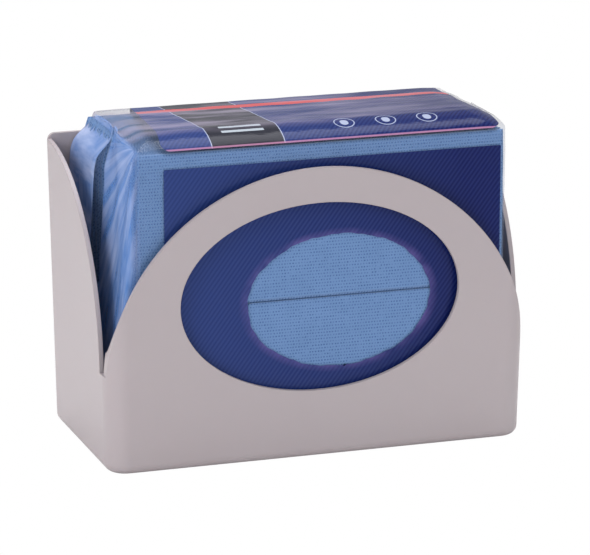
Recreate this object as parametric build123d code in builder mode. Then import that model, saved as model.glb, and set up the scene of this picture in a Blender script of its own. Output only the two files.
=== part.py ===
from build123d import *
import math
import os

# Wipe dispenser: an open-topped moulded holder that carries a film-wrapped refill of folded cloths.
# Millimetres, +Z up, +X to the right seen from the front, the front faces -Y.
# The origin is the centre of the footprint, on the surface that the holder stands on.

# Holder moulding
base_width = 280.0
base_depth = 133.0
back_height = 195.5
wall = 3.0
floor_thickness = 3.0
draft_angle = 1.15
corner_radius = 14.0
rear_corner_radius = 4.0
base_round = 6.0
back_top_round = 6.0

# Arched front rim, a half ellipse that springs just inside the side faces
arch_spring_height = 58.5
arch_rise = 133.3
arch_inset = 0.9

# Side rims, a quarter ellipse from the back wall down to the notch beside the front corner
side_rim_top = 192.0
side_rim_low = 71.4
side_rim_reach = 114.9
notch_height = 64.0

# Window in the front wall
window_width = 187.0
window_height = 124.0
window_centre_height = 107.0

# Countersunk screw holes in the back wall
screw_hole_diameter = 5.0
screw_head_diameter = 9.0
screw_countersink_angle = 90.0
screw_spacing_x = 180.0
screw_spacing_z = 90.0
screw_centre_height = 110.0

# Film wrapper of the refill
seat_gap = 0.3
film_thickness = 0.5
film_front_gap = 1.0
film_back_gap = 0.9
film_side_gap = 2.5
film_top_half_width = 123.7
film_top_shift = 3.0
film_shoulder_height = 208.0
film_crown_height = 215.5
film_crown_setback = 22.0
film_back_edge_height = 209.0
film_corner_round = 7.0
film_base_round = 2.0

# Torn-out oval in the film's front
tear_width = 123.0
tear_height = 87.0
tear_centre_x = 14.0
tear_centre_height = 102.5

# Film seals: a lap along the back and a flat fin down each end
seal_thickness = 0.5
lap_seal_width = 14.0
fin_width = 12.0
fin_low = 24.0
fin_high = 186.0

# Folded wipes, each a cloth with both edges folded to the middle
wipe_count = 50
wipe_width = 236.0
ply_thickness = 0.9
fold_gap = 0.3
flap_gap = 1.0
wipe_top_clearance = 1.5
stack_unevenness = 1.2

draft = math.tan(math.radians(draft_angle))
arch_top = arch_spring_height + arch_rise
back_y = (base_depth + arch_top * draft) / 2
clear_of_part = 2 * base_width


def half_width(z):
    """Half the holder's outer width at height z."""
    return base_width / 2 + z * draft


def front_y(z):
    """The front wall's outer face at height z."""
    return back_y - base_depth - z * draft


def holder_body(inset, low, high):
    """The holder's drafted block with rounded upright edges, inset from its outer faces."""
    under = low - wall
    over = high + wall
    with BuildPart() as body:
        with BuildSketch(Plane.XZ):
            with BuildLine():
                Polyline(
                    (inset - half_width(low), low),
                    (half_width(low) - inset, low),
                    (half_width(high) - inset, high),
                    (inset - half_width(high), high),
                    close=True,
                )
            make_face()
        extrude(amount=clear_of_part, both=True)
        with BuildSketch(Plane.YZ):
            with BuildLine():
                Polyline(
                    (front_y(under) + inset, under),
                    (back_y - inset, under),
                    (back_y - inset, over),
                    (front_y(over) + inset, over),
                    close=True,
                )
            make_face()
        extrude(amount=clear_of_part, both=True, mode=Mode.INTERSECT)
        upright = body.edges().group_by(Axis.Z)[1].sort_by(Axis.Y)
        fillet(upright[:2], corner_radius - inset)
        fillet(upright[2:], rear_corner_radius - inset)
    return body.part


# Holder: one injection moulding, open at the top
arch_half_width = half_width(arch_spring_height) - arch_inset
arch_start = math.degrees(math.asin((notch_height - arch_spring_height) / arch_rise))
front_zone_y = front_y(notch_height) + corner_radius
side_rim_start = math.degrees(math.asin(wall / side_rim_reach))
above_part = film_crown_height + wall
round_reach = back_top_round * math.tan(math.radians(45 + draft_angle / 2))
round_head = (half_width(back_height) - round_reach, back_height)
round_low = back_height - round_reach * math.cos(math.radians(draft_angle))
round_foot = (half_width(round_low), round_low)

with BuildPart() as holder:
    add(holder_body(0, 0, back_height))
    base_edges = holder.faces().sort_by(Axis.Z)[0].edges()
    fillet(base_edges.sort_by(Axis.Y)[:-1], base_round)
    # everything above the arch is cleared from the front wall and its two corners
    with BuildSketch(Plane.XZ.offset(-front_zone_y)) as above_arch:
        with BuildLine():
            arch = EllipticalCenterArc(
                (0, arch_spring_height),
                arch_half_width,
                arch_rise,
                arch_start,
                arc_size=180 - 2 * arch_start,
            )
            Polyline(
                arch @ 1,
                (-clear_of_part, notch_height),
                (-clear_of_part, above_part),
                (clear_of_part, above_part),
                (clear_of_part, notch_height),
                arch @ 0,
            )
        make_face()
    extrude(amount=clear_of_part, mode=Mode.SUBTRACT)
    # the back wall's top corners are round
    with BuildSketch(Plane.XZ) as beyond_round:
        with BuildLine():
            Polyline(
                round_foot,
                (clear_of_part, round_foot[1]),
                (clear_of_part, above_part),
                (round_head[0], above_part),
                round_head,
            )
            RadiusArc(round_head, round_foot, back_top_round)
        make_face()
        mirror(about=Plane.YZ)
    extrude(amount=clear_of_part, both=True, mode=Mode.SUBTRACT)
    add(holder_body(wall, floor_thickness, above_part), mode=Mode.SUBTRACT)
    inner_floor = holder.faces().filter_by(Plane.XY).sort_by(Axis.Z)[1]
    fillet(inner_floor.edges(), base_round - wall)
    # the side walls sweep down from the back wall to the notch
    with BuildSketch(Plane.YZ) as above_sides:
        with BuildLine():
            sweep_down = EllipticalCenterArc(
                (back_y, side_rim_low),
                side_rim_reach,
                side_rim_top - side_rim_low,
                90 + side_rim_start,
                arc_size=90 - side_rim_start,
            )
            Polyline(
                sweep_down @ 1,
                (back_y - side_rim_reach, notch_height),
                (front_zone_y, notch_height),
                (front_zone_y, above_part),
                (back_y - wall, above_part),
                sweep_down @ 0,
            )
        make_face()
    extrude(amount=clear_of_part, both=True, mode=Mode.SUBTRACT)
    # window
    with BuildSketch(Plane.XZ):
        with Locations((0, window_centre_height)):
            Ellipse(window_width / 2, window_height / 2)
    extrude(amount=clear_of_part, mode=Mode.SUBTRACT)
    # countersunk screw holes, entered from inside the holder
    with Locations(Plane.XZ.offset(wall - back_y)):
        with Locations((0, screw_centre_height)):
            with GridLocations(screw_spacing_x, screw_spacing_z, 2, 2):
                CounterSinkHole(
                    screw_hole_diameter / 2,
                    screw_head_diameter / 2,
                    depth=2 * wall,
                    counter_sink_angle=screw_countersink_angle,
                )

# Film wrapper: a closed bag round the stack, torn open in front
film_base = floor_thickness + seat_gap
film_low_half_width = half_width(film_base) - wall - film_side_gap
film_front_y = front_y(film_base) + wall + film_front_gap
film_back_y = back_y - wall - film_back_gap


film_middle_y = (film_front_y + film_back_y) / 2


def film_body(inset):
    """Solid shape of the wrapped refill, with a crowned top that falls to the back."""
    crown_y = film_front_y + film_crown_setback
    crown_drop = film_crown_height - film_shoulder_height
    crown_radius = (film_crown_setback**2 + crown_drop**2) / (2 * crown_drop)
    low_half = film_low_half_width - inset
    top_half = film_top_half_width - inset
    with BuildPart() as body:
        with BuildSketch(Plane.XZ):
            with BuildLine():
                Polyline(
                    (-low_half, film_base + inset),
                    (low_half, film_base + inset),
                    (film_top_shift + top_half, film_crown_height),
                    (film_top_shift - top_half, film_crown_height),
                    close=True,
                )
            make_face()
        extrude(amount=clear_of_part, both=True)
        with BuildSketch(Plane.YZ):
            with Locations((film_middle_y, film_shoulder_height / 2)):
                Rectangle(film_back_y - film_front_y - 2 * inset, 2 * film_shoulder_height)
        extrude(amount=clear_of_part, both=True, mode=Mode.INTERSECT)
        fillet(body.edges().group_by(Axis.Z)[1], film_corner_round - inset)
        fillet(body.edges().group_by(Axis.Z)[0], film_base_round - inset)
        with BuildSketch(Plane.YZ):
            with BuildLine():
                shoulder = CenterArc(
                    (crown_y, film_crown_height - crown_radius),
                    crown_radius - inset,
                    90,
                    60,
                )
                Polyline(
                    shoulder @ 1,
                    (-clear_of_part, film_shoulder_height),
                    (-clear_of_part, 2 * film_crown_height),
                    (clear_of_part, 2 * film_crown_height),
                    (clear_of_part, film_back_edge_height - inset),
                    (film_back_y, film_back_edge_height - inset),
                    shoulder @ 0,
                )
            make_face()
        extrude(amount=clear_of_part, both=True, mode=Mode.SUBTRACT)
    return body.part


with BuildPart() as end_fins:
    add(film_body(-seal_thickness))
    with BuildSketch(Plane.YZ):
        with Locations((film_middle_y, (fin_low + fin_high) / 2)):
            Rectangle(fin_width, fin_high - fin_low)
    extrude(amount=clear_of_part, both=True, mode=Mode.INTERSECT)

with BuildPart() as film_wrapper:
    add(film_body(0))
    add(end_fins.part)
    with BuildSketch(Plane.XZ.offset(-film_back_y)):
        with Locations((0, tear_centre_height)):
            Rectangle(2 * (film_top_half_width - 2 * film_corner_round), lap_seal_width)
    extrude(amount=-seal_thickness)
    add(film_body(film_thickness), mode=Mode.SUBTRACT)
    with BuildSketch(Plane.XZ.offset(-film_middle_y)):
        with Locations((tear_centre_x, tear_centre_height)):
            Ellipse(tear_width / 2, tear_height / 2)
    extrude(amount=clear_of_part, mode=Mode.SUBTRACT)

# Wipes: upright cloths one behind the other, both edges of each folded to the middle of its front
wipe_bottom = film_base + film_thickness + seat_gap
wipe_top = film_shoulder_height - film_thickness - wipe_top_clearance
wipe_middle = (wipe_bottom + wipe_top) / 2
wipe_thickness = 2 * ply_thickness + fold_gap
wipe_height = wipe_top - wipe_bottom
stack_front_y = film_front_y + film_thickness + seat_gap
stack_back_y = film_back_y - film_thickness - seat_gap
wipe_pitch = (stack_back_y - stack_front_y) / wipe_count

wipes = []
for index in range(wipe_count):
    front = stack_front_y + index * wipe_pitch
    shift = film_top_shift + stack_unevenness * math.sin(2.4 * index)
    with BuildPart() as wipe:
        with BuildSketch(Plane.YZ.offset(shift)):
            with Locations((front + wipe_thickness / 2, wipe_middle)):
                SlotOverall(wipe_height, wipe_thickness, rotation=90)
                Rectangle(fold_gap, wipe_height - 2 * ply_thickness, mode=Mode.SUBTRACT)
            with Locations((front + ply_thickness / 2, wipe_middle)):
                Rectangle(ply_thickness, flap_gap, mode=Mode.SUBTRACT)
        extrude(amount=wipe_width / 2, both=True)
    wipe.part.label = f"wipe_{index + 1:02d}"
    wipes.append(wipe.part)

holder.part.label = "holder"
film_wrapper.part.label = "film_wrapper"

os.makedirs("parts", exist_ok=True)
for piece in [holder.part, film_wrapper.part, *wipes]:
    export_step(piece, f"parts/{piece.label}.step")
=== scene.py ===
import math

import bpy
import numpy as np
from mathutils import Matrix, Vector


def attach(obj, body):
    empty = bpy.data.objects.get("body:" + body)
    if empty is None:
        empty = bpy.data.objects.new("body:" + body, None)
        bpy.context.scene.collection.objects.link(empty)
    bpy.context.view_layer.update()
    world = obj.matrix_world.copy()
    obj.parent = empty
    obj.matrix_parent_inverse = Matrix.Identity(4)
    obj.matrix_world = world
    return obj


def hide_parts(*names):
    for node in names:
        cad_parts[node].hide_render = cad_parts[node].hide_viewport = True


# Looks of the wipe dispenser: moulded holder, printed film wrapper and folded gauze cloths.
# Metres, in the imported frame; sizes in the tables below are in millimetres.

MM = 0.001

# Film wrapper, outer faces
FILM_BASE = 3.3
FILM_BACK = 64.525
FILM_FRONT = -60.64
FILM_SHOULDER = 208.0
FILM_CROWN = 215.5
FILM_CROWN_SETBACK = 22.0
FILM_BACK_EDGE = 209.0
FILM_LOW_HALF = 134.57
FILM_TOP_HALF = 123.7
FILM_TOP_SHIFT = 3.0
FILM_CORNER = 2.5

FILM_FOOT_ROUND = 2.0
FILM_CELL = 2.0

# Torn oval: centre and half sizes in the front view
TEAR_CENTRE = (14.0, 102.5)
TEAR_HALF = (61.5, 43.5)

# Print areas on the unrolled film: across is X, along runs up the front from its foot and over the top
SHOULDER = FILM_SHOULDER - FILM_BASE
PANEL = (-102.0, 123.4, 30.0, 190.6)
BAND_LEFT = -103.5
BAND_RIGHT = 123.5
BAND_FOOT = SHOULDER - 2.5
BAND_HEAD = BAND_FOOT + 138.0
STRIPE_PITCH = 2.5

# Weave of the cloths: distance between openings across and along
WEAVE_ACROSS = 1.9
WEAVE_ALONG = 2.05

# Folded cloths
WIPE_COUNT = 50
WIPE_WIDTH = 245.0
WIPE_BOTTOM = 4.1
WIPE_TOP = 206.3
PLY = 0.9
FOLD_GAP = 0.3
FLAP_GAP = 1.0
CLOTH_THICKNESS = 0.8
STACK_FRONT = -59.84
STACK_BACK = 63.725
UNEVENNESS = 0.8


def linear(code):
    """sRGB hex to linear RGBA."""
    parts = [int(code[i : i + 2], 16) / 255 for i in (1, 3, 5)]
    return tuple(c / 12.92 if c <= 0.04045 else ((c + 0.055) / 1.055) ** 2.4 for c in parts) + (1.0,)


# Node building

def node(tree, kind, sockets=None, **settings):
    """Adds a node. sockets maps an input's name or index to a value or to another node's output."""
    made = tree.nodes.new(kind)
    for name, value in settings.items():
        setattr(made, name, value)
    for key, value in (sockets or {}).items():
        if isinstance(value, bpy.types.NodeSocket):
            tree.links.new(value, made.inputs[key])
        else:
            made.inputs[key].default_value = value
    return made


def calc(tree, operation, *values, clamp=False):
    """A Math node's result."""
    sockets = dict(enumerate(values))
    return node(tree, "ShaderNodeMath", sockets, operation=operation, use_clamp=clamp).outputs[0]


def plus(tree, a, b):
    """a + b."""
    return calc(tree, "ADD", a, b)


def minus(tree, a, b, clamp=False):
    """a - b, held between 0 and 1 if clamp is set."""
    return calc(tree, "SUBTRACT", a, b, clamp=clamp)


def times(tree, first, *others):
    """The product of all values."""
    for other in others:
        first = calc(tree, "MULTIPLY", first, other)
    return first


def ramp(tree, value, start, width):
    """0 up to start, 1 from start + width on, straight between."""
    return calc(tree, "DIVIDE", minus(tree, value, start), width, clamp=True)


def union(tree, first, *others):
    """The largest of several masks."""
    for other in others:
        first = calc(tree, "MAXIMUM", first, other)
    return first


def pair(tree, x, y):
    """A vector of two values."""
    return node(tree, "ShaderNodeCombineXYZ", {0: x, 1: y}).outputs[0]


def mixed(tree, share, under, over):
    """Colour under, covered by colour over where share is 1."""
    sockets = {0: share, 6: under, 7: over}
    return node(tree, "ShaderNodeMix", sockets, data_type="RGBA").outputs[2]


def layered(tree, share, under, over):
    """Shader under, covered by shader over where share is 1."""
    return node(tree, "ShaderNodeMixShader", {0: share, 1: under, 2: over}).outputs[0]


def noise(tree, vector, scale, detail=2.0, rough=0.5):
    """Noise value about 0.5, scale in waves per unit of vector."""
    sockets = {"Vector": vector, "Scale": scale, "Detail": detail, "Roughness": rough}
    return node(tree, "ShaderNodeTexNoise", sockets).outputs["Fac"]


def patches(tree, vector, scale, detail, rough, gain, offset):
    """Noise stretched to noise * gain + offset and held between 0 and 1."""
    return calc(tree, "MULTIPLY_ADD", noise(tree, vector, scale, detail, rough), gain, offset, clamp=True)


def new_material(name):
    """An empty material and its tree, with the output node."""
    material = bpy.data.materials.new(name)
    material.use_nodes = True
    tree = material.node_tree
    tree.nodes.clear()
    return material, tree, node(tree, "ShaderNodeOutputMaterial")


def box_distance(tree, x, y, box, corner):
    """Signed distance from the rounded box's outline, negative inside. The box is (x0, x1, y0, y1)."""
    x0, x1, y0, y1 = box
    qx = minus(tree, calc(tree, "ABSOLUTE", minus(tree, x, (x0 + x1) / 2)), (x1 - x0) / 2 - corner)
    qy = minus(tree, calc(tree, "ABSOLUTE", minus(tree, y, (y0 + y1) / 2)), (y1 - y0) / 2 - corner)
    ox = calc(tree, "MAXIMUM", qx, 0.0)
    oy = calc(tree, "MAXIMUM", qy, 0.0)
    outside = calc(tree, "SQRT", plus(tree, times(tree, ox, ox), times(tree, oy, oy)))
    inside = calc(tree, "MINIMUM", calc(tree, "MAXIMUM", qx, qy), 0.0)
    return minus(tree, plus(tree, outside, inside), corner)


def inside_edge(tree, distance, soft):
    """1 where distance is negative, 0 where it is positive, over a soft width."""
    return minus(tree, 0.5, calc(tree, "DIVIDE", distance, soft), clamp=True)


def box_mask(tree, x, y, box, corner, soft):
    """1 inside the rounded box and 0 outside."""
    return inside_edge(tree, box_distance(tree, x, y, box, corner), soft)


def outline_mask(tree, x, y, box, corner, width):
    """1 on a line of that width along the rounded box's outline."""
    distance = calc(tree, "ABSOLUTE", box_distance(tree, x, y, box, corner))
    return inside_edge(tree, minus(tree, distance, width / 2), 0.2)


def sheet_coordinates(tree):
    """The piece's own unrolled coordinates in millimetres: across and along the sheet."""
    uv = node(tree, "ShaderNodeUVMap", uv_map="sheet").outputs[0]
    split = node(tree, "ShaderNodeSeparateXYZ", {0: uv})
    return uv, split.outputs[0], split.outputs[1]


# Materials

def moulded_plastic():
    """Warm grey ABS with a fine satin skin; edges catch light as if slightly rounded."""
    material, tree, out = new_material("moulded_abs_warm_grey")
    place = node(tree, "ShaderNodeTexCoord").outputs["Object"]
    grain = noise(tree, place, 900.0, 2.0)
    mottle = noise(tree, place, 9.0, 3.0)
    colour = mixed(tree, mottle, linear("#a69ca0"), linear("#aba2a5"))
    edge = node(tree, "ShaderNodeBevel", {"Radius": 0.9 * MM}, samples=6).outputs[0]
    relief = {"Strength": 0.04, "Distance": 0.05 * MM, "Height": grain, "Normal": edge}
    bump = node(tree, "ShaderNodeBump", relief)
    skin = {
        "Base Color": colour,
        "Roughness": 0.42,
        "Specular IOR Level": 0.4,
        "Normal": bump.outputs[0],
        "Subsurface Weight": 0.03,
        "Subsurface Scale": 2 * MM,
    }
    shader = node(tree, "ShaderNodeBsdfPrincipled", skin)
    tree.links.new(shader.outputs[0], out.inputs["Surface"])
    return material


def gauze(tree, across, along):
    """Open weave: 1 in the small openings between the threads. Their rows and columns waver, and a slow noise
    closes them in places."""
    place = pair(tree, across, along)
    shifted = plus(tree, across, times(tree, noise(tree, place, 0.25), 1.1))
    row = calc(tree, "FLOOR", calc(tree, "DIVIDE", along, WEAVE_ALONG))
    step = times(tree, calc(tree, "MODULO", row, 2.0), WEAVE_ACROSS * 0.3)
    wave_x = calc(tree, "SINE", times(tree, plus(tree, shifted, step), 2 * math.pi / WEAVE_ACROSS))
    wave_y = calc(tree, "SINE", times(tree, along, 2 * math.pi / WEAVE_ALONG))
    open_x = calc(tree, "GREATER_THAN", wave_x, -0.3)
    open_y = calc(tree, "GREATER_THAN", wave_y, -0.1)
    depth = times(tree, plus(tree, wave_x, 0.35), plus(tree, wave_y, 0.2))
    depth = calc(tree, "MULTIPLY", depth, 1.1, clamp=True)
    loose = patches(tree, place, 0.33, 4.0, 0.7, 4.6, -1.6)
    return calc(tree, "MULTIPLY", times(tree, depth, loose), times(tree, open_x, open_y), clamp=True)


def cloth_material(name, light, deep):
    """Light blue nonwoven gauze: soft sheen, weave darker in its openings."""
    material, tree, out = new_material(name)
    uv, across, along = sheet_coordinates(tree)
    hole = gauze(tree, across, along)
    patch = noise(tree, uv, 0.06, 3.0)
    base = mixed(tree, patch, linear(light), linear(deep))
    colour = mixed(tree, times(tree, hole, 0.75), base, linear("#21497f"))
    fibre = noise(tree, uv, 2.5, 3.0)
    height = minus(tree, times(tree, fibre, 0.4), hole)
    bump = node(tree, "ShaderNodeBump", {"Strength": 0.5, "Distance": 0.25 * MM, "Height": height})
    cloth = {
        "Base Color": colour,
        "Roughness": 0.9,
        "Sheen Weight": 0.25,
        "Specular IOR Level": 0.15,
        "Normal": bump.outputs[0],
    }
    shader = node(tree, "ShaderNodeBsdfPrincipled", cloth)
    tree.links.new(shader.outputs[0], out.inputs["Surface"])
    return material


def ground_ink_and_reflection(tree, across, along):
    """Navy with fine diagonal pinstripes. Painted reflection makes the navy lighter and hazier to the left and
    its stripes stronger there.
    """
    slant = minus(tree, times(tree, across, 0.80), times(tree, along, 0.60))
    stripe = calc(tree, "SINE", times(tree, slant, 2 * math.pi / STRIPE_PITCH))
    stripe = calc(tree, "MULTIPLY_ADD", stripe, 0.5, 0.5)
    # painted reflection: the navy is lighter and its stripes stronger to the left, fading out towards the right
    reflection_falloff = ramp(tree, across, -90.0, 190.0)
    navy = mixed(tree, reflection_falloff, linear("#22346c"), linear("#06104d"))
    contrast = calc(tree, "MULTIPLY_ADD", reflection_falloff, -0.12, 0.3)
    return mixed(tree, times(tree, stripe, contrast), navy, linear("#45599a")), reflection_falloff


def band_area(tree, across, along):
    """Mask of the band over the top. It lies a little askew: its left end drifts inwards towards the back."""
    drift = times(tree, minus(tree, along, BAND_FOOT), 0.00058)
    askew = minus(tree, across, times(tree, minus(tree, BAND_RIGHT, across), drift))
    return box_mask(tree, askew, along, (BAND_LEFT, BAND_RIGHT, BAND_FOOT, BAND_HEAD), 7.0, 0.3)


def band_print_and_reflection(tree, ink, band, across, along):
    """Plain shapes printed on the band: a charcoal block with two bars, three rings with a dot and a red stripe
    across. A rose line along the foot is a painted reflection of the crease there."""

    def box(x0, x1, low, high, corner, soft):
        return box_mask(tree, across, along, (x0, x1, BAND_FOOT + low, BAND_FOOT + high), corner, soft)

    block_box = (-70.0, -22.0, BAND_FOOT - 5.0, BAND_FOOT + 145.0)
    block = times(tree, box_mask(tree, across, along, block_box, 1.0, 0.3), band)
    ink = mixed(tree, block, ink, linear("#292a34"))
    bars = union(tree, *[box(-60.0, -32.0, foot, foot + 3.0, 0.5, 0.3) for foot in (14.0, 21.0)])
    ink = mixed(tree, times(tree, bars, 0.7), ink, linear("#c9d4e0"))
    lines = []
    radius = 6.5
    for centre in (22.0, 50.0, 78.0):
        ring = (centre - radius, centre + radius, BAND_FOOT + 10.0, BAND_FOOT + 10.0 + 2 * radius)
        lines.append(outline_mask(tree, across, along, ring, radius, 0.7))
        lines.append(box(centre - 2.6, centre + 2.6, 13.0, 20.0, 2.6, 0.4))
    lines.append(times(tree, outline_mask(tree, across, along, block_box, 1.0, 0.6), band))
    ink = mixed(tree, times(tree, union(tree, *lines), 0.75), ink, linear("#b9c3de"))
    ink = mixed(tree, box(-110.0, 130.0, 96.0, 106.0, 0.5, 0.3), ink, linear("#c24a4c"))
    # painted reflection: a rose line of light along the crease at the band's foot
    crease_reflection = box(BAND_LEFT, BAND_RIGHT, 0.0, 1.3, 0.1, 0.6)
    return mixed(tree, times(tree, crease_reflection, 0.7), ink, linear("#c890b4"))


def stretched_rim(tree, ink, uv, across, along):
    """The film round the torn oval is stretched, which makes its ink paler and violet in patches."""
    tear_along = TEAR_CENTRE[1] - FILM_BASE - FILM_FOOT_ROUND
    x = calc(tree, "DIVIDE", minus(tree, across, TEAR_CENTRE[0]), TEAR_HALF[0])
    z = calc(tree, "DIVIDE", minus(tree, along, tear_along), TEAR_HALF[1])
    far = calc(tree, "SQRT", plus(tree, calc(tree, "POWER", x, 2.0), calc(tree, "POWER", z, 2.0)))
    rim = minus(tree, 1.0, ramp(tree, far, 1.0, 0.1))
    patchy = patches(tree, uv, 0.05, 3.0, 0.5, 3.0, -1.0)
    rim = times(tree, rim, patchy, calc(tree, "LESS_THAN", along, SHOULDER))
    return mixed(tree, times(tree, rim, 0.6), ink, linear("#6a5c9c"))


def painted_film_reflection(tree, uv, across, along, end_zone, reflection_falloff):
    """Painted reflection of the lights on the folded film: pale streaks that fan out down the left end, and a
    haze along the top.
    """
    fan_x = plus(tree, across, 112.0)
    fan_y = minus(tree, along, SHOULDER + 6.0)
    turn = calc(tree, "ARCTAN2", fan_x, fan_y)
    # painted reflection: pale streaks fanning out down the left end
    reflection_streak = patches(tree, pair(tree, turn, times(tree, fan_y, 0.002)), 9.0, 3.0, 0.55, 2.6, -1.0)
    stretched = node(tree, "ShaderNodeMapping", {"Vector": uv, "Scale": (0.011, 0.055, 1.0)}).outputs[0]
    # painted reflection: a haze along the top
    top_reflection = patches(tree, stretched, 1.0, 4.0, 0.6, 3.0, -1.25)
    fade = calc(tree, "MULTIPLY_ADD", reflection_falloff, -0.5, 1.1)
    top_reflection = times(tree, top_reflection, ramp(tree, along, BAND_FOOT + 14.0, 14.0), fade)
    return union(tree, times(tree, reflection_streak, end_zone, 0.75), top_reflection)


def film_material():
    """Clear polyethylene film with a printed front panel and a printed band over the top. Its layers are clear
    film, ink, painted light of lit cloth blue at the loose left end, a veil of painted reflection, and a gloss
    at grazing angles."""
    material, tree, out = new_material("printed_polyethylene_film")
    uv, across, along = sheet_coordinates(tree)
    band = band_area(tree, across, along)
    printed = union(tree, box_mask(tree, across, along, PANEL, 1.0, 0.3), band)
    ink, reflection_falloff = ground_ink_and_reflection(tree, across, along)
    ink = band_print_and_reflection(tree, ink, band, across, along)
    ink = stretched_rim(tree, ink, uv, across, along)
    end_zone = minus(tree, 1.0, ramp(tree, across, -124.0, 7.0))
    reflection_share = painted_film_reflection(tree, uv, across, along, end_zone, reflection_falloff)
    relief = {"Strength": 0.35, "Distance": 1.2 * MM, "Height": noise(tree, uv, 0.08, 3.0)}
    bump = node(tree, "ShaderNodeBump", relief).outputs[0]
    clear = node(tree, "ShaderNodeBsdfTransparent", {"Color": (1.0, 1.0, 1.0, 1.0)}).outputs[0]
    ink_look = {"Base Color": ink, "Roughness": 0.6, "Specular IOR Level": 0.0}
    ink_shader = node(tree, "ShaderNodeBsdfPrincipled", ink_look).outputs[0]
    # painted light: a bright cloth blue on the film's left end stands in for light on the cloths behind it
    lit_cloth_blue_shader = node(tree, "ShaderNodeBsdfDiffuse", {"Color": linear("#6596e0")}).outputs[0]
    # painted reflection: a pale diffuse veil, bluer over the left end
    reflection_colour = mixed(tree, end_zone, linear("#b0a6be"), linear("#c6cde8"))
    reflection_shader = node(tree, "ShaderNodeBsdfDiffuse", {"Color": reflection_colour}).outputs[0]
    gloss_look = {"Color": (0.8, 0.8, 0.85, 1.0), "Roughness": 0.16, "Normal": bump}
    gloss = node(tree, "ShaderNodeBsdfGlossy", gloss_look).outputs[0]
    body = layered(tree, times(tree, printed, 0.96), clear, ink_shader)
    body = layered(tree, times(tree, end_zone, 0.5), body, lit_cloth_blue_shader)
    body = layered(tree, times(tree, reflection_share, 0.6), body, reflection_shader)
    # light passes the clear film undimmed
    lit = minus(tree, 1.0, node(tree, "ShaderNodeLightPath").outputs["Is Shadow Ray"])
    grazing = node(tree, "ShaderNodeFresnel", {"IOR": 1.32, "Normal": bump}).outputs[0]
    grazing = times(tree, calc(tree, "MINIMUM", grazing, 0.5), 0.65, lit)
    tree.links.new(layered(tree, grazing, body, gloss), out.inputs["Surface"])
    return material


# Meshes

def grid_object(name, points, uv, faces, material):
    """A mesh object from points (n, 3) in millimetres, one uv (n, 2) per point and quads (m, 4)."""
    mesh = bpy.data.meshes.new(name)
    mesh.from_pydata([], [], [])
    count = len(faces)
    mesh.vertices.add(len(points))
    mesh.vertices.foreach_set("co", (points * MM).astype(np.float32).ravel())
    mesh.loops.add(4 * count)
    mesh.loops.foreach_set("vertex_index", faces.astype(np.int32).ravel())
    mesh.polygons.add(count)
    mesh.polygons.foreach_set("loop_start", np.arange(0, 4 * count, 4, dtype=np.int32))
    layer = mesh.uv_layers.new(name="sheet")
    layer.data.foreach_set("uv", uv[faces.ravel()].astype(np.float32).ravel())
    mesh.polygons.foreach_set("use_smooth", np.ones(count, dtype=bool))
    mesh.update(calc_edges=True)
    mesh.validate()
    made = bpy.data.objects.new(name, mesh)
    bpy.context.scene.collection.objects.link(made)
    made.data.materials.append(material)
    return made


def quads(rows, columns, closed):
    """Corner indices of the cells of a grid stored row by row; closed joins the last row to the first."""
    last = rows if closed else rows - 1
    r = np.arange(last)[:, None]
    c = np.arange(columns - 1)[None, :]
    n = (r + 1) % rows
    cells = [r * columns + c, r * columns + c + 1, n * columns + c + 1, n * columns + c]
    return np.stack(cells, axis=-1).reshape(-1, 4)


def smooth_step(value):
    """0 below 0, 1 above 1, and a smooth rise between."""
    t = np.clip(value, 0, 1)
    return t * t * (3 - 2 * t)


def resample(path, step):
    """Points at even steps along a polyline, and their distance along it."""
    lengths = np.concatenate([[0], np.cumsum(np.linalg.norm(np.diff(path, axis=0), axis=1))])
    at = np.linspace(0, lengths[-1], int(round(lengths[-1] / step)) + 1)
    spots = np.stack([np.interp(at, lengths, path[:, k]) for k in range(path.shape[1])], axis=1)
    return spots, at


def arc(centre, radius, start, end, count):
    """Points on a circular arc, angles in degrees."""
    turn = np.radians(np.linspace(start, end, count))
    return np.stack([centre[0] + radius * np.cos(turn), centre[1] + radius * np.sin(turn)], axis=1)


def film_loop():
    """The wrapper's side view (y, z) as an open path from the front's foot up, over the top, down and under.
    The top is an arc of radius (setback^2 + drop^2) / (2 drop) that is level at the crown."""
    drop = FILM_CROWN - FILM_SHOULDER
    radius = (FILM_CROWN_SETBACK**2 + drop**2) / (2 * drop)
    crown_y = FILM_FRONT + FILM_CROWN_SETBACK
    lean = math.degrees(math.asin(FILM_CROWN_SETBACK / radius))
    foot = FILM_FOOT_ROUND
    parts = [
        np.array([[FILM_FRONT, FILM_BASE + foot]]),
        arc((FILM_FRONT + 2.5, FILM_SHOULDER - 1.6), 2.5, 180, 90 + lean, 6),
        arc((crown_y, FILM_CROWN - radius), radius, 90 + lean - 5, 90, 10),
        arc((FILM_BACK - 3.0, FILM_BACK_EDGE - 3.0), 3.0, 86, 0, 6),
        arc((FILM_BACK - foot, FILM_BASE + foot), foot, 0, -90, 5),
        arc((FILM_FRONT + foot, FILM_BASE + foot), foot, -90, -180, 5)[:-1],
    ]
    return np.concatenate(parts)


def pressed_in(x, y, z):
    """How far the pack's upper left corner is pressed in: 7 mm at the back's top, fading over 35 mm across,
    60 mm in depth and 26 mm in height."""
    return 7.0 * smooth_step((-x - 85) / 35) * smooth_step((y + 30) / 60) * smooth_step((z - 182) / 26)


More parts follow.
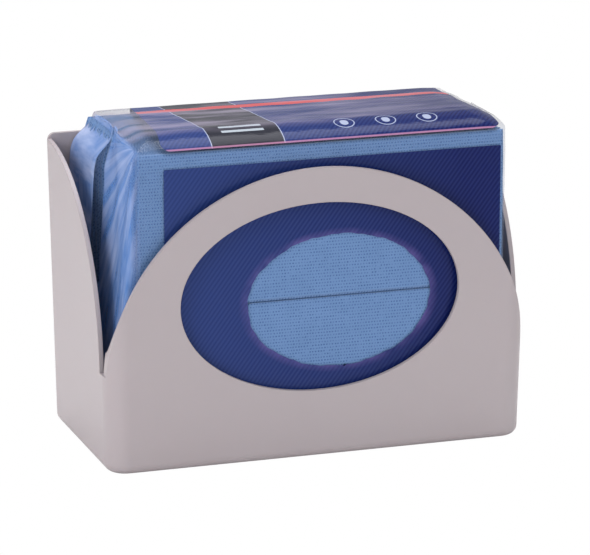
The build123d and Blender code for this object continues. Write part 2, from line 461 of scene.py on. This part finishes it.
def film_points():
    """The wrapper as a closed sleeve. The side view is swept across X, its corners draw in on a quarter circle,
    and each end closes by squeezing the section's depth to the middle plane."""
    path = np.concatenate([film_loop(), film_loop()[:1]])
    loop, along = resample(path, FILM_CELL)
    loop, along = loop[:-1], along[:-1]
    y, z = loop[:, :1], loop[:, 1:]
    middle = (FILM_FRONT + FILM_BACK) / 2
    share = (z - FILM_BASE) / (FILM_CROWN - FILM_BASE)
    half = FILM_LOW_HALF + share * (FILM_TOP_HALF - FILM_LOW_HALF)
    shift = share * FILM_TOP_SHIFT
    flat = np.linspace(-1, 1, 128)
    bend = np.radians(np.linspace(0, 90, 8))[1:]
    pinch = np.linspace(1, 0.01, 22)[1:]
    # per column: reach along the flat part, how far round the corner, how much depth is left
    reach = np.concatenate([-np.ones(len(bend) + len(pinch)), flat, np.ones(len(bend) + len(pinch))])
    closed = np.full(len(pinch), bend[-1])
    angle = np.concatenate([closed, bend[::-1], 0 * flat, bend, closed])
    depth = np.concatenate([pinch[::-1], np.ones(len(bend) * 2 + len(flat)), pinch])
    side = np.sign(reach)
    x = shift + reach * (half - FILM_CORNER) + side * FILM_CORNER * np.sin(angle)
    inset = FILM_CORNER * (1 - np.cos(angle))
    toward = np.clip((y - middle) / ((FILM_BACK - FILM_FRONT) / 2 - FILM_CORNER), -1, 1)
    yy = middle + (y - middle - toward * inset) * depth
    # the left end draws in a little over the cloths
    outer = smooth_step((np.abs(x - shift) - (half - 30)) / 30)
    x = x - np.minimum(side, 0) * 1.0 * smooth_step((z - 200) / 8) * outer
    # below them the left end bags out, most towards the back
    bag = 6.5 * smooth_step((204 - z) / 14) * smooth_step((y + 45) / 70) * smooth_step((z - 40) / 60)
    x = x + np.minimum(side, 0) * bag * outer
    # the right end lies close to the cloths
    close = 3.6 * smooth_step(z / 70) * smooth_step((215 - z) / 110)
    x = x - np.maximum(side, 0) * close * outer
    x = x + pressed_in(x, yy, z + 0 * x)
    # the top sinks a little towards both ends
    reach_mm = np.abs(x - shift)
    sink = smooth_step((reach_mm - (half - 14)) / 14)
    zz = np.where(z > 207.6, 207.6 + (z - 207.6) * (1 - 0.6 * sink), z + 0 * x)
    zz = np.where(z < 20, np.maximum(zz, FILM_BASE), zz)
    across = x + side * (1 - depth) * 62.0 + side * FILM_CORNER * (angle - np.sin(angle))
    unrolled = np.broadcast_to(along[:, None], x.shape)
    return np.stack([x, yy, zz], axis=-1), across, unrolled


def value_noise(u, v, seed):
    """Smooth noise from a few crossed sine waves with set phases."""
    turns = np.random.default_rng(seed).uniform(0, 2 * math.pi, (6, 3))
    total = 0
    for k, (a, b, _) in enumerate(turns):
        pace = 1 + 0.6 * k
        total = total + np.sin(u * math.cos(a) * pace + v * math.sin(a) * pace + b) / (1 + 0.5 * k)
    return total / 3


def crease(across, along, corner_across, corner_along):
    """Height of the creases that fan out from a corner of the pack: sharp ridges in the angle about the corner.
    They rise from 10 mm off the corner and die away with exp(-far / 75)."""
    du = across - corner_across
    dv = along - corner_along
    far = np.hypot(du, dv)
    turn = np.arctan2(dv, du)
    ridge = 1 - np.abs(np.sin(5.5 * turn + 0.7 * np.sin(3 * turn)))
    fine = 1 - np.abs(np.sin(13 * turn + 1.3))
    return (1.6 * ridge**2 + 0.7 * fine**2) * smooth_step((far - 10) / 22) * np.exp(-far / 75)


def make_film(material):
    """The wrapper with creased ends and the torn oval in its front."""
    points, across, along = film_points()
    rows, columns = across.shape
    loose_left = smooth_step((-across - 108) / 14)
    loose_right = smooth_step((across - 112) / 14)
    height = loose_left * crease(across, along, -118.0, SHOULDER + 4)
    height = height + 0.25 * loose_right * crease(across, along, 122.0, SHOULDER + 4)
    slack = loose_left + 0.3 * loose_right
    height = height + slack * 0.7 * value_noise(across * 0.13, along * 0.05, 3)
    top = smooth_step((along - SHOULDER - 14) / 10) * smooth_step((SHOULDER + 130 - along) / 10)
    height = height + 0.35 * top * (1 + value_noise(across * 0.08, along * 0.16, 5))
    # the film never presses into the cloths
    height = np.maximum(height, 0)
    # outward direction of the undisturbed surface
    step_u = np.gradient(points, axis=1)
    step_v = np.roll(points, -1, axis=0) - np.roll(points, 1, axis=0)
    normal = np.cross(step_u, step_v)
    size = np.linalg.norm(normal, axis=-1, keepdims=True)
    normal = normal / np.maximum(size, 1e-9)
    points = points + normal * height[..., None]
    points[..., 1] = np.clip(points[..., 1], FILM_FRONT - 0.2, FILM_BACK + 0.3)
    # the ends stay inside the holder's drafted side walls
    low = points[..., 2] < 190
    limit = 136.5 + points[..., 2] * 0.02
    points[..., 0] = np.where(low, np.clip(points[..., 0], -limit, limit), points[..., 0])
    points[..., 2] = np.maximum(points[..., 2], FILM_BASE)
    # tear: cells inside the ragged oval go, and their rim moves out onto it
    front = (points[..., 1] < FILM_FRONT + 3) & (along < SHOULDER)
    dx = points[..., 0] - TEAR_CENTRE[0]
    dz = points[..., 2] - TEAR_CENTRE[1]
    turn = np.arctan2(dz, dx)
    ragged = 1 + 0.006 * np.sin(9 * turn + 1)
    ragged = ragged + 0.004 * np.sin(23 * turn) + 0.003 * np.sin(41 * turn + 2)
    rho = np.hypot(dx / TEAR_HALF[0], dz / TEAR_HALF[1]) / ragged
    inside = front & (rho < 1)
    push = np.where(inside & (rho > 0.3), 1 / np.maximum(rho, 0.3), 1.0)
    points[..., 0] = np.where(inside, TEAR_CENTRE[0] + dx * push, points[..., 0])
    points[..., 2] = np.where(inside, TEAR_CENTRE[1] + dz * push, points[..., 2])
    faces = quads(rows, columns, closed=True)
    faces = faces[~inside.ravel()[faces].all(axis=1)]
    # the unrolled length starts again at the front's foot, where nothing is printed
    uv = np.stack([across, along], axis=-1).reshape(-1, 2)
    return grid_object("film_bag", points.reshape(-1, 3), uv, faces, material)


def wipe_path(front):
    """Centre line (y, z) of one folded cloth, from the upper flap's lower edge round to the lower flap."""
    near = front + PLY / 2
    far = near + PLY + FOLD_GAP
    radius = (far - near) / 2
    middle = (WIPE_BOTTOM + WIPE_TOP) / 2
    top = WIPE_TOP - PLY / 2 - radius
    bottom = WIPE_BOTTOM + PLY / 2 + radius
    centre = (near + far) / 2
    return np.concatenate(
        [
            np.array([[near, middle + FLAP_GAP / 2]]),
            arc((centre, top), radius, 180, 0, 7),
            arc((centre, bottom), radius, 0, -180, 7),
            np.array([[near, middle - FLAP_GAP / 2]]),
        ]
    )


def make_wipe(index, material):
    """A cloth folded twice towards its front, and the length of its path. Both flaps meet at mid height, and
    edges and surface waver by a few tenths of a millimetre."""
    pitch = (STACK_BACK - STACK_FRONT) / WIPE_COUNT
    path = wipe_path(STACK_FRONT + index * pitch)
    spots, along = resample(path, 5.0 if index else 2.5)
    columns = 49 if index else 97
    share = np.linspace(-1, 1, columns)[None, :]
    # the cloths at the back have slid a little to the left
    slid = 3.5 * smooth_step((index - 12) / 30)
    shift = FILM_TOP_SHIFT + UNEVENNESS * math.sin(2.4 * index) - slid
    edge = 0.6 * value_noise(along[:, None] * 0.05, 0 * share, 40 + index)
    x = shift + share * (WIPE_WIDTH / 2 + edge)
    y = spots[:, :1] + 0.12 * value_noise(x * 0.05, along[:, None] * 0.04, 90 + index)
    z = spots[:, 1:] + 0.0 * x
    points = np.stack([x + pressed_in(x, y, z), y, z], axis=-1)
    rows = len(along)
    uv = np.stack([x - shift, np.broadcast_to(along[:, None], x.shape)], axis=-1).reshape(-1, 2)
    faces = quads(rows, columns, closed=False)
    wipe = grid_object(f"cloth_{index + 1:02d}", points.reshape(-1, 3), uv, faces, material)
    thick = wipe.modifiers.new("thickness", "SOLIDIFY")
    thick.thickness = CLOTH_THICKNESS * MM
    thick.offset = 0.0
    return wipe, along[-1]


def aim(thing, target):
    """Turns a camera or light so that it looks at target."""
    thing.rotation_euler = (Vector(target) - thing.location).to_track_quat("-Z", "Y").to_euler()


def area_light(name, place, target, size, power, colour=(1.0, 1.0, 1.0)):
    """A square softbox."""
    lamp = bpy.data.lights.new(name, "AREA")
    lamp.size = size
    lamp.energy = power
    lamp.color = colour
    made = bpy.data.objects.new(name, lamp)
    made.location = place
    bpy.context.scene.collection.objects.link(made)
    aim(made, target)
    return made


def studio():
    """Pale floor, soft boxes, a white surround, and the camera."""
    mesh = bpy.data.meshes.new("floor")
    mesh.from_pydata([(-6, -6, 0), (6, -6, 0), (6, 6, 0), (-6, 6, 0)], [], [(0, 1, 2, 3)])
    floor = bpy.data.objects.new("floor", mesh)
    bpy.context.scene.collection.objects.link(floor)
    material, tree, out = new_material("white_studio_floor")
    lit = node(tree, "ShaderNodeBsdfDiffuse", {"Color": (0.9, 0.9, 0.9, 1.0)}).outputs[0]
    white = node(tree, "ShaderNodeEmission", {"Color": (1.0, 1.0, 1.0, 1.0), "Strength": 1.0}).outputs[0]
    seen = node(tree, "ShaderNodeLightPath").outputs["Is Camera Ray"]
    surface = node(tree, "ShaderNodeMixShader", {0: seen, 1: lit, 2: white}).outputs[0]
    tree.links.new(surface, out.inputs["Surface"])
    mesh.materials.append(material)
    world = bpy.data.worlds.new("surround")
    bpy.context.scene.world = world
    world.use_nodes = True
    tree = world.node_tree
    tree.nodes.clear()
    path = node(tree, "ShaderNodeLightPath").outputs["Is Camera Ray"]
    strength = calc(tree, "MULTIPLY_ADD", path, 0.45, 0.55)
    sky = node(tree, "ShaderNodeBackground", {"Color": (1.0, 1.0, 1.0, 1.0), "Strength": strength})
    node(tree, "ShaderNodeOutputWorld", {"Surface": sky.outputs[0]})
    area_light("key_box", (-1.9, -0.9, 1.2), (0, 0, 0.1), 1.3, 25.0)
    area_light("fill_box", (1.2, -2.0, 0.9), (0, 0, 0.1), 1.2, 9.0)
    area_light("top_box", (0.1, 0.3, 1.7), (0, 0, 0.1), 1.2, 22.0)
    lens = bpy.data.cameras.new("camera")
    lens.sensor_fit = "HORIZONTAL"
    lens.sensor_width = 36.0
    lens.lens = 229.33
    lens.clip_end = 50.0
    camera = bpy.data.objects.new("camera", lens)
    camera.location = (-0.74654, -2.24865, 0.73144)
    bpy.context.scene.collection.objects.link(camera)
    aim(camera, (0.000648, -0.011585, 0.10586))
    bpy.context.scene.camera = camera
    bpy.context.scene.view_settings.view_transform = "Standard"


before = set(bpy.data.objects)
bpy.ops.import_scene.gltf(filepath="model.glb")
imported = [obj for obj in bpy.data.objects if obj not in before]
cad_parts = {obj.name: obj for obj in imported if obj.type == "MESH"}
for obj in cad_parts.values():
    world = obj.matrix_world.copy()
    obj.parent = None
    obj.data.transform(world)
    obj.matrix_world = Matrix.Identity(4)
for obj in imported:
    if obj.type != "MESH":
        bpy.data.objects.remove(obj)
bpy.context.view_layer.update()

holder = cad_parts["holder"]
holder.data.materials.clear()
holder.data.materials.append(moulded_plastic())

film = make_film(film_material())
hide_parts("film_wrapper")
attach(film, "refill")

cloth = cloth_material("nonwoven_gauze_light_blue", "#6c8cba", "#5f7eab")
for index in range(WIPE_COUNT):
    wipe, length = make_wipe(index, cloth)
    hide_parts(f"wipe_{index + 1:02d}")
    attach(wipe, "refill")

studio()
